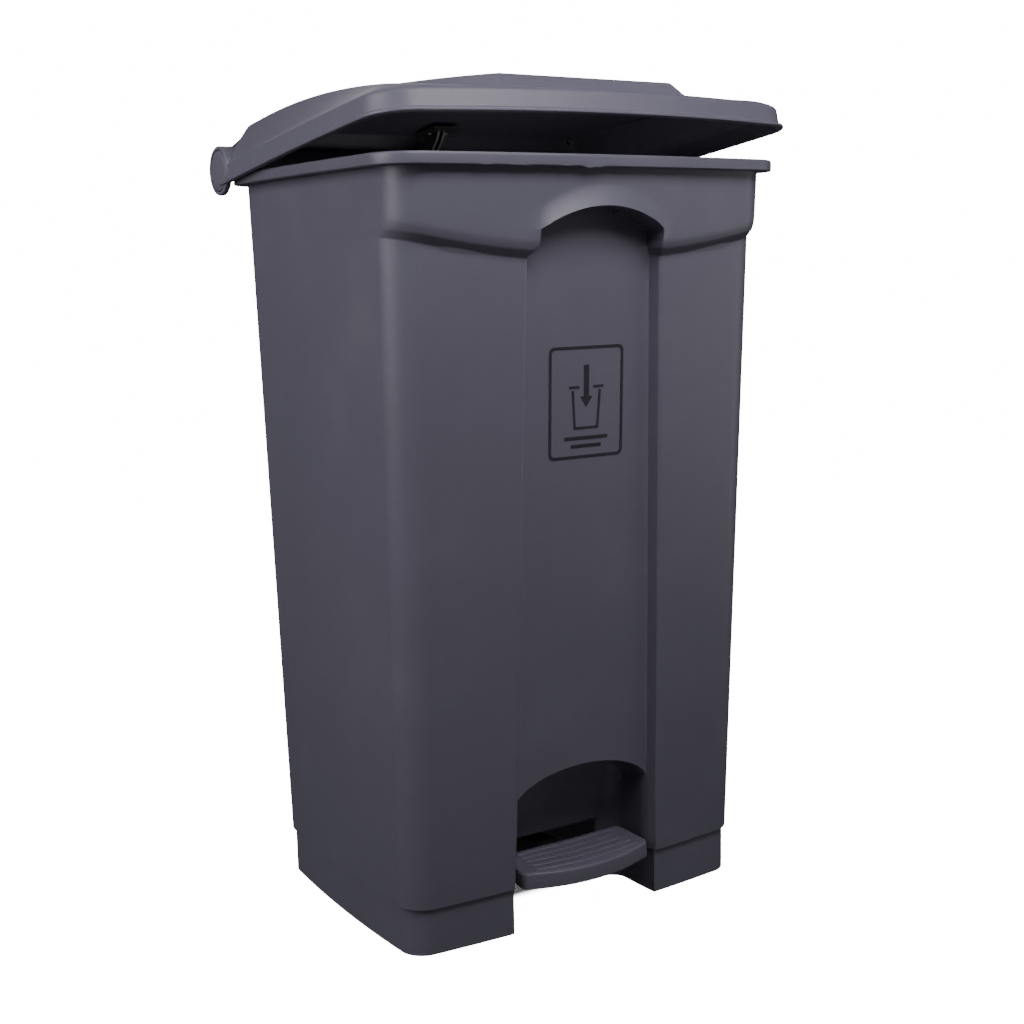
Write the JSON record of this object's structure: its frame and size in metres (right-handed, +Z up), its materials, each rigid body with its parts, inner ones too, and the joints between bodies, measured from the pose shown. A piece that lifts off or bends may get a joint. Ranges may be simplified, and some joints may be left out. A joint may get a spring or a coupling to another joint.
{
  "type": "pedal trash can",
  "caption": "Tall step-on waste bin: tapered plastic tub with a recessed front channel and toe niche, hinged domed lid, pedal and lift rod.",
  "frame": {"origin": "on the floor under the middle of the object's outline, lid resting slightly open", "axes": "+Z up, -Y towards the front with the pedal, +X to the bin's left side as seen by the bin"},
  "size_m": [0.4862, 0.4304, 0.8503],
  "materials": {
    "tub_plastic": "fine moulded texture, dark slate grey",
    "lid_plastic": "fine moulded texture, slate grey",
    "black_nylon": "plain moulded",
    "zinc_steel": "zinc plated",
    "sign_ink": "printed film"
  },
  "bodies": {
    "tub": {"body_shell": "tub_plastic", "sign_film": "sign_ink", "rod_guide_lower": "black_nylon", "rod_guide_upper": "black_nylon", "rod_cover": "tub_plastic", "cover_screw_lower": "zinc_steel", "cover_screw_upper": "zinc_steel", "hinge_rod": "zinc_steel", "pedal_axle": "zinc_steel", "axle_clip_left": "zinc_steel", "axle_clip_right": "zinc_steel"},
    "lid": {"lid_shell": "lid_plastic", "hinge_bush_left": "black_nylon", "hinge_bush_right": "black_nylon", "hinge_cap_left": "lid_plastic", "hinge_cap_right": "lid_plastic", "lid_lever": "zinc_steel", "lever_pin": "zinc_steel", "lever_screw_left": "zinc_steel", "lever_screw_right": "zinc_steel"},
    "pedal": {"pedal_tread": "tub_plastic", "pedal_lever": "black_nylon", "foot_pin": "zinc_steel", "axle_bush_left": "black_nylon", "axle_bush_right": "black_nylon", "pedal_screw_left": "zinc_steel", "pedal_screw_right": "zinc_steel"},
    "rod": {"lift_rod": "zinc_steel", "rod_eye": "zinc_steel", "rod_foot": "zinc_steel"}
  },
  "joints": [
    {"name": "lid_hinge", "type": "hinge", "parent": "tub", "child": "lid", "pos_m": [0, 0.1892, 0.78], "axis": [-1, 0, 0], "range_deg": [-6.6, 63.4]},
    {"name": "pedal_hinge", "type": "hinge", "parent": "tub", "child": "pedal", "pos_m": [0, 0.0207, 0.036], "axis": [1, 0, 0], "range_deg": [-1.26, 12.09]},
    {"name": "rod_slide", "type": "slide", "parent": "tub", "child": "rod", "axis": [0, 0, 1], "range_m": [-0.00281, 0.02701]}
  ],
  "couplings": [
    {"joint": "pedal_hinge", "follows": "lid_hinge", "ratio": 0.19073},
    {"joint": "rod_slide", "follows": "lid_hinge", "m_per_rad": 0.024413}
  ]
}
